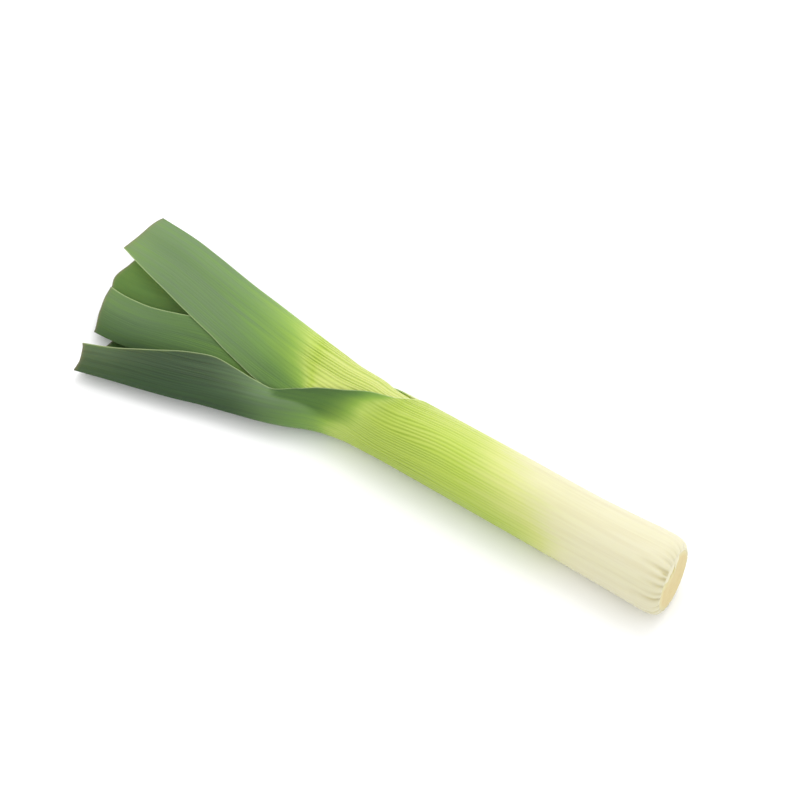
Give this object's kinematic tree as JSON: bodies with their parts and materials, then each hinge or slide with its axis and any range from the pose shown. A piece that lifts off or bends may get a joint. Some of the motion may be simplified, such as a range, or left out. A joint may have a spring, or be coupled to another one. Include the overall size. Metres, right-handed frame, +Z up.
{
  "type": "leek",
  "caption": "Fresh trimmed leek lying on its side, with a white shank of nested leaf sheaths, a trimmed root disc and a fan of cut green leaves.",
  "frame": {"origin": "bottom centre of the whole leek's bounding box, on the surface it lies on", "axes": "+X along the shank to the root end, +Z up, -Y on the side of the outermost leaf's blade"},
  "size_m": [0.3814, 0.1032, 0.0443],
  "materials": {
    "root_disc": "matte",
    "outer_leaf": "satin",
    "second_leaf": "satin",
    "third_leaf": "satin",
    "inner_leaf": "satin",
    "heart": "satin"
  },
  "bodies": {
    "root": {"basal_plate": "root_disc", "leaf_1": "outer_leaf", "leaf_2": "second_leaf", "leaf_3": "third_leaf", "leaf_4": "inner_leaf", "leaf_5": "inner_leaf", "leaf_6": "inner_leaf", "heart_leaf": "heart"}
  },
  "joints": []
}
